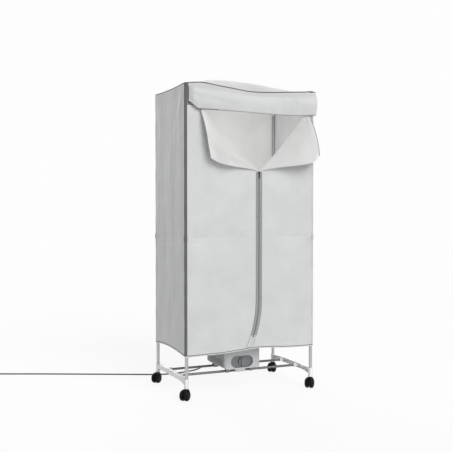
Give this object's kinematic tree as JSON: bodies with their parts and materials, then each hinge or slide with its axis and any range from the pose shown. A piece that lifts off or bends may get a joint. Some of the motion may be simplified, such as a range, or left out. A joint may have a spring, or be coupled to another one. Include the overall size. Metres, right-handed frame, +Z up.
{
  "type": "portable drying cabinet",
  "caption": "Tall portable drying cabinet: tube frame on twin-wheel castors, zipped cloth cover, and a fan heater clipped to the base rails.",
  "frame": {"origin": "on the floor, midway between the four uprights", "axes": "+X to the right along the front, +Y to the rear, +Z up"},
  "size_m": [1.5593, 1.0937, 1.4691],
  "materials": {
    "bracket_plastic": "white moulded plastic",
    "tube_steel": "satin grey tube",
    "rail_steel": "dark bright-drawn tube",
    "coupler_plastic": "moulded collar",
    "castor_plastic": "black moulded plastic",
    "axle_steel": "plain steel",
    "heater_shell": "grey moulded plastic",
    "heater_fascia": "light grey moulded plastic",
    "grille_plastic": "grey moulded plastic",
    "knob_plastic": "grey moulded plastic",
    "timer_plastic": "ivory moulded plastic",
    "motor_metal": "pressed metal",
    "fan_plastic": "moulded plastic",
    "element_metal": "finned metal",
    "cord_rubber": "black sheath",
    "plug_plastic": "black moulded plastic",
    "cover_cloth": "silver-grey coated cloth",
    "binding_cloth": "grey edge tape",
    "zip_tape": "woven tape with moulded teeth",
    "zip_metal": "dark enamel"
  },
  "bodies": {
    "frame": {"base_bracket_left": "bracket_plastic", "base_bracket_right": "bracket_plastic", "base_rail_front": "rail_steel", "base_rail_rear": "rail_steel", "lower_upright_fl": "tube_steel", "lower_upright_fr": "tube_steel", "lower_upright_rl": "tube_steel", "lower_upright_rr": "tube_steel", "upper_upright_fl": "tube_steel", "upper_upright_fr": "tube_steel", "upper_upright_rl": "tube_steel", "upper_upright_rr": "tube_steel", "upright_couplers": "coupler_plastic", "top_bracket_left": "bracket_plastic", "top_bracket_right": "bracket_plastic", "hanging_rail_front": "rail_steel", "hanging_rail_rear": "rail_steel", "heater_lower_shell": "heater_shell", "heater_upper_shell": "heater_shell", "heater_fascia": "heater_fascia", "outlet_grille": "grille_plastic", "timer_unit": "timer_plastic", "fan_motor": "motor_metal", "heating_element": "element_metal", "cord_gland": "plug_plastic", "cover_top": "cover_cloth", "cover_back": "cover_cloth", "cover_left": "cover_cloth", "cover_right": "cover_cloth", "cover_floor": "cover_cloth", "front_panel_left": "cover_cloth", "front_panel_right": "cover_cloth", "valance": "cover_cloth", "corner_bindings": "binding_cloth", "top_piping": "binding_cloth", "hem_binding": "binding_cloth", "zip_tapes": "zip_tape", "cord_run": "cord_rubber", "cord_coil_and_tie": "cord_rubber", "mains_plug": "plug_plastic"},
    "castor_fl": {"castor_fl_housing": "castor_plastic", "castor_fl_axle": "axle_steel"},
    "castor_fl_wheel_a": {"castor_fl_wheel_a": "castor_plastic"},
    "castor_fl_wheel_b": {"castor_fl_wheel_b": "castor_plastic"},
    "castor_fr": {"castor_fr_housing": "castor_plastic", "castor_fr_axle": "axle_steel"},
    "castor_fr_wheel_a": {"castor_fr_wheel_a": "castor_plastic"},
    "castor_fr_wheel_b": {"castor_fr_wheel_b": "castor_plastic"},
    "castor_rl": {"castor_rl_housing": "castor_plastic", "castor_rl_axle": "axle_steel"},
    "castor_rl_wheel_a": {"castor_rl_wheel_a": "castor_plastic"},
    "castor_rl_wheel_b": {"castor_rl_wheel_b": "castor_plastic"},
    "castor_rr": {"castor_rr_housing": "castor_plastic", "castor_rr_axle": "axle_steel"},
    "castor_rr_wheel_a": {"castor_rr_wheel_a": "castor_plastic"},
    "castor_rr_wheel_b": {"castor_rr_wheel_b": "castor_plastic"},
    "fan": {"fan_impeller": "fan_plastic"},
    "knob": {"timer_knob": "knob_plastic"},
    "slider": {"zip_slider": "zip_metal"},
    "pull": {"zip_pull": "zip_metal"}
  },
  "joints": [
    {"name": "castor_fl_swivel", "type": "hinge", "parent": "frame", "child": "castor_fl", "pos_m": [-0.328, -0.204, 0.052], "axis": [0, 0, 1], "continuous": true},
    {"name": "castor_fl_wheel_a_spin", "type": "hinge", "parent": "castor_fl", "child": "castor_fl_wheel_a", "pos_m": [-0.34164, -0.21863, 0.025], "axis": [0.7314, -0.682, 0], "continuous": true},
    {"name": "castor_fl_wheel_b_spin", "type": "hinge", "parent": "castor_fl", "child": "castor_fl_wheel_b", "pos_m": [-0.34164, -0.21863, 0.025], "axis": [0.7314, -0.682, 0], "continuous": true},
    {"name": "castor_fr_swivel", "type": "hinge", "parent": "frame", "child": "castor_fr", "pos_m": [0.328, -0.204, 0.052], "axis": [0, 0, 1], "continuous": true},
    {"name": "castor_fr_wheel_a_spin", "type": "hinge", "parent": "castor_fr", "child": "castor_fr_wheel_a", "pos_m": [0.31436, -0.21863, 0.025], "axis": [0.7314, -0.682, 0], "continuous": true},
    {"name": "castor_fr_wheel_b_spin", "type": "hinge", "parent": "castor_fr", "child": "castor_fr_wheel_b", "pos_m": [0.31436, -0.21863, 0.025], "axis": [0.7314, -0.682, 0], "continuous": true},
    {"name": "castor_rl_swivel", "type": "hinge", "parent": "frame", "child": "castor_rl", "pos_m": [-0.328, 0.204, 0.052], "axis": [0, 0, 1], "continuous": true},
    {"name": "castor_rl_wheel_a_spin", "type": "hinge", "parent": "castor_rl", "child": "castor_rl_wheel_a", "pos_m": [-0.34164, 0.18937, 0.025], "axis": [0.7314, -0.682, 0], "continuous": true},
    {"name": "castor_rl_wheel_b_spin", "type": "hinge", "parent": "castor_rl", "child": "castor_rl_wheel_b", "pos_m": [-0.34164, 0.18937, 0.025], "axis": [0.7314, -0.682, 0], "continuous": true},
    {"name": "castor_rr_swivel", "type": "hinge", "parent": "frame", "child": "castor_rr", "pos_m": [0.328, 0.204, 0.052], "axis": [0, 0, 1], "continuous": true},
    {"name": "castor_rr_wheel_a_spin", "type": "hinge", "parent": "castor_rr", "child": "castor_rr_wheel_a", "pos_m": [0.31436, 0.18937, 0.025], "axis": [0.7314, -0.682, 0], "continuous": true},
    {"name": "castor_rr_wheel_b_spin", "type": "hinge", "parent": "castor_rr", "child": "castor_rr_wheel_b", "pos_m": [0.31436, 0.18937, 0.025], "axis": [0.7314, -0.682, 0], "continuous": true},
    {"name": "fan_spin", "type": "hinge", "parent": "frame", "child": "fan", "pos_m": [-0.002, 0, 0.141], "axis": [0, 0, 1], "continuous": true},
    {"name": "knob_turn", "type": "hinge", "parent": "frame", "child": "knob", "pos_m": [-0.003, -0.11, 0.138], "axis": [0, 1, 0], "range_deg": [0, 300]},
    {"name": "zip_slide", "type": "slide", "parent": "frame", "child": "slider", "axis": [0, 0, 1], "range_m": [-0.47, 0]},
    {"name": "pull_swing", "type": "hinge", "parent": "slider", "child": "pull", "pos_m": [0.038, -0.2201, 1.0545], "axis": [-1, 0, 0], "range_deg": [0, 150]}
  ]
}
